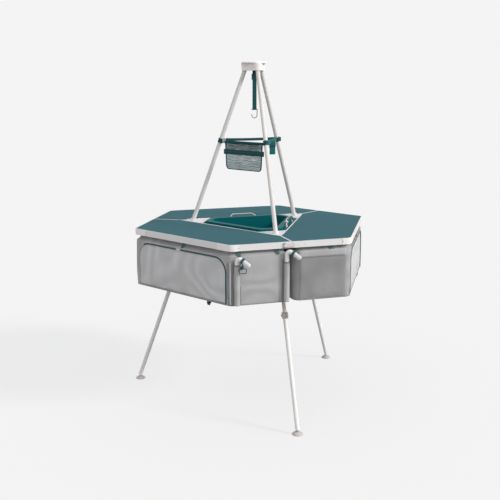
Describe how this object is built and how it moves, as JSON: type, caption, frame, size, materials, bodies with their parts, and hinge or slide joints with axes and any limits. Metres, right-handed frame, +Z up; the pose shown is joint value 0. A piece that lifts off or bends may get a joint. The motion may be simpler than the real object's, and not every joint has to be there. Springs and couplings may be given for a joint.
{
  "type": "camping kitchen unit",
  "caption": "Tripod camping kitchen: hexagonal table of rimmed boards with mesh stores below, lift-out basin, hanging pocket and hook.",
  "frame": {"origin": "centre of the footprint, on the ground under the feet", "axes": "+Z up, -Y towards the front pole's foot, +X to the right seen from the front"},
  "size_m": [1.1628, 1.1328, 1.617],
  "materials": {
    "hub": "satin moulded",
    "screw_steel": "satin",
    "pole_white": "powder coat",
    "bare_tube": "satin",
    "bracket_white": "moulded",
    "board_teal": "semi-gloss laminate",
    "rim_white": "powder coat",
    "latch_white": "moulded",
    "store_mesh": "woven mesh",
    "webbing": "woven webbing",
    "clamp_plastic": "moulded",
    "foot_rubber": "moulded",
    "basin_green": "moulded",
    "wire_steel": "satin",
    "clip_white": "moulded",
    "buckle_plastic": "moulded",
    "pocket_mesh": "woven mesh",
    "collar_green": "moulded",
    "cap_frosted": "frosted"
  },
  "bodies": {
    "root": {"hub_body": "hub", "hub_cap": "hub", "hub_pins": "screw_steel", "upper_pole_front": "pole_white", "upper_pole_right": "pole_white", "upper_pole_left": "pole_white", "inner_tube_front": "bare_tube", "inner_tube_right": "bare_tube", "inner_tube_left": "bare_tube", "corner_bracket_front": "bracket_white", "corner_bracket_right": "bracket_white", "corner_bracket_left": "bracket_white", "bracket_screws": "screw_steel", "board_left": "board_teal", "board_right": "board_teal", "board_back": "board_teal", "rim_left": "rim_white", "rim_right": "rim_white", "rim_back": "rim_white", "rim_screws": "screw_steel", "latch_plates": "latch_white", "store_left": "store_mesh", "store_right": "store_mesh", "store_back": "store_mesh", "belt": "webbing"},
    "leg_front": {"lower_leg_front": "pole_white", "leg_clamp_front": "clamp_plastic"},
    "lever_front": {"clamp_lever_front": "clamp_plastic"},
    "foot_front": {"foot_front": "foot_rubber"},
    "leg_right": {"lower_leg_right": "pole_white", "leg_clamp_right": "clamp_plastic"},
    "lever_right": {"clamp_lever_right": "clamp_plastic"},
    "foot_right": {"foot_right": "foot_rubber"},
    "leg_left": {"lower_leg_left": "pole_white", "leg_clamp_left": "clamp_plastic"},
    "lever_left": {"clamp_lever_left": "clamp_plastic"},
    "foot_left": {"foot_left": "foot_rubber"},
    "door_left": {"store_door_left": "store_mesh"},
    "latch_left": {"latch_left": "latch_white"},
    "door_right": {"store_door_right": "store_mesh"},
    "latch_right": {"latch_right": "latch_white"},
    "door_back": {"store_door_back": "store_mesh"},
    "latch_back": {"latch_back": "latch_white"},
    "basin": {"basin": "basin_green", "handle_pivots": "clip_white"},
    "handle_back": {"basin_handle_back": "wire_steel"},
    "handle_right": {"basin_handle_right": "wire_steel", "handle_ring": "clip_white"},
    "strap": {"hang_strap": "webbing", "strap_buckle": "buckle_plastic"},
    "hook": {"hook": "wire_steel"},
    "pocket": {"pocket": "pocket_mesh"},
    "arm_outer": {"arm_outer": "pole_white", "arm_collar_outer": "collar_green", "arm_cap_outer": "cap_frosted", "arm_loop": "collar_green"},
    "arm_seam": {"arm_seam": "pole_white", "arm_collar_seam": "collar_green", "arm_cap_seam": "cap_frosted"}
  },
  "joints": [
    {"name": "leg_slide_front", "type": "slide", "parent": "root", "child": "leg_front", "axis": [0, -0.3397, -0.9405], "range_m": [-0.065, 0.15]},
    {"name": "lever_front", "type": "hinge", "parent": "leg_front", "child": "lever_front", "pos_m": [0, -0.38864, 0.50443], "axis": [0, 0.3397, 0.9405], "range_deg": [0, 100]},
    {"name": "foot_tilt_front", "type": "hinge", "parent": "leg_front", "child": "foot_front", "pos_m": [0, -0.5424, 0.024], "axis": [1, 0, 0], "range_deg": [-8, 8]},
    {"name": "leg_slide_right", "type": "slide", "parent": "root", "child": "leg_right", "axis": [0.2942, 0.1699, -0.9405], "range_m": [-0.065, 0.15]},
    {"name": "lever_right", "type": "hinge", "parent": "leg_right", "child": "lever_right", "pos_m": [0.39411, 0.29397, 0.50443], "axis": [-0.2942, -0.1699, 0.9405], "range_deg": [0, 100]},
    {"name": "foot_tilt_right", "type": "hinge", "parent": "leg_right", "child": "foot_right", "pos_m": [0.52726, 0.37085, 0.024], "axis": [-0.5, 0.866, 0], "range_deg": [-8, 8]},
    {"name": "leg_slide_left", "type": "slide", "parent": "root", "child": "leg_left", "axis": [-0.2942, 0.1699, -0.9405], "range_m": [-0.065, 0.15]},
    {"name": "lever_left", "type": "hinge", "parent": "leg_left", "child": "lever_left", "pos_m": [-0.39411, 0.29397, 0.50443], "axis": [0.2942, -0.1699, 0.9405], "range_deg": [0, 100]},
    {"name": "foot_tilt_left", "type": "hinge", "parent": "leg_left", "child": "foot_left", "pos_m": [-0.52726, 0.37085, 0.024], "axis": [-0.5, -0.866, 0], "range_deg": [-8, 8]},
    {"name": "door_left", "type": "hinge", "parent": "root", "child": "door_left", "pos_m": [-0.42952, -0.18155, 0.592], "axis": [0.5, -0.866, 0], "range_deg": [0, 100]},
    {"name": "latch_left", "type": "hinge", "parent": "root", "child": "latch_left", "pos_m": [-0.035, -0.45392, 0.835], "axis": [0, 0, -1], "range_deg": [0, 100]},
    {"name": "door_right", "type": "hinge", "parent": "root", "child": "door_right", "pos_m": [0.42952, -0.18155, 0.592], "axis": [0.5, 0.866, 0], "range_deg": [0, 100]},
    {"name": "latch_right", "type": "hinge", "parent": "root", "child": "latch_right", "pos_m": [0.46814, 0.2963, 0.835], "axis": [0, 0, -1], "range_deg": [0, 100]},
    {"name": "door_back", "type": "hinge", "parent": "root", "child": "door_back", "pos_m": [0, 0.5624, 0.592], "axis": [-1, 0, 0], "range_deg": [0, 100]},
    {"name": "latch_back", "type": "hinge", "parent": "root", "child": "latch_back", "pos_m": [-0.43314, 0.35692, 0.835], "axis": [0, 0, -1], "range_deg": [0, 100]},
    {"name": "basin_lift", "type": "slide", "parent": "root", "child": "basin", "axis": [0, 0, 1], "range_m": [0, 0.14]},
    {"name": "handle_back", "type": "hinge", "parent": "basin", "child": "handle_back", "pos_m": [0, 0.23943, 0.851], "axis": [-1, 0, 0], "range_deg": [-100, 15]},
    {"name": "handle_right", "type": "hinge", "parent": "basin", "child": "handle_right", "pos_m": [0.14982, -0.02007, 0.851], "axis": [0.5, 0.866, 0], "range_deg": [-19, 70]},
    {"name": "strap_swing", "type": "hinge", "parent": "root", "child": "strap", "pos_m": [0, 0.06643, 1.583], "axis": [1, 0, 0], "range_deg": [-16, 16]},
    {"name": "hook_swing", "type": "hinge", "parent": "strap", "child": "hook", "pos_m": [0, 0.06643, 1.397], "axis": [1, 0, 0], "range_deg": [-50, 50]},
    {"name": "pocket_swing", "type": "hinge", "parent": "root", "child": "pocket", "pos_m": [-0.07841, 0.02116, 1.249], "axis": [-0.5, 0.866, 0], "range_deg": [0, 60]},
    {"name": "arm_swivel_outer", "type": "hinge", "parent": "root", "child": "arm_outer", "pos_m": [-0.251, -0.45857, 0.7], "axis": [0, 0, 1], "range_deg": [-80, 25]},
    {"name": "arm_swivel_seam", "type": "hinge", "parent": "root", "child": "arm_seam", "pos_m": [-0.0255, -0.45857, 0.7], "axis": [0, 0, 1], "range_deg": [-80, 25]}
  ]
}
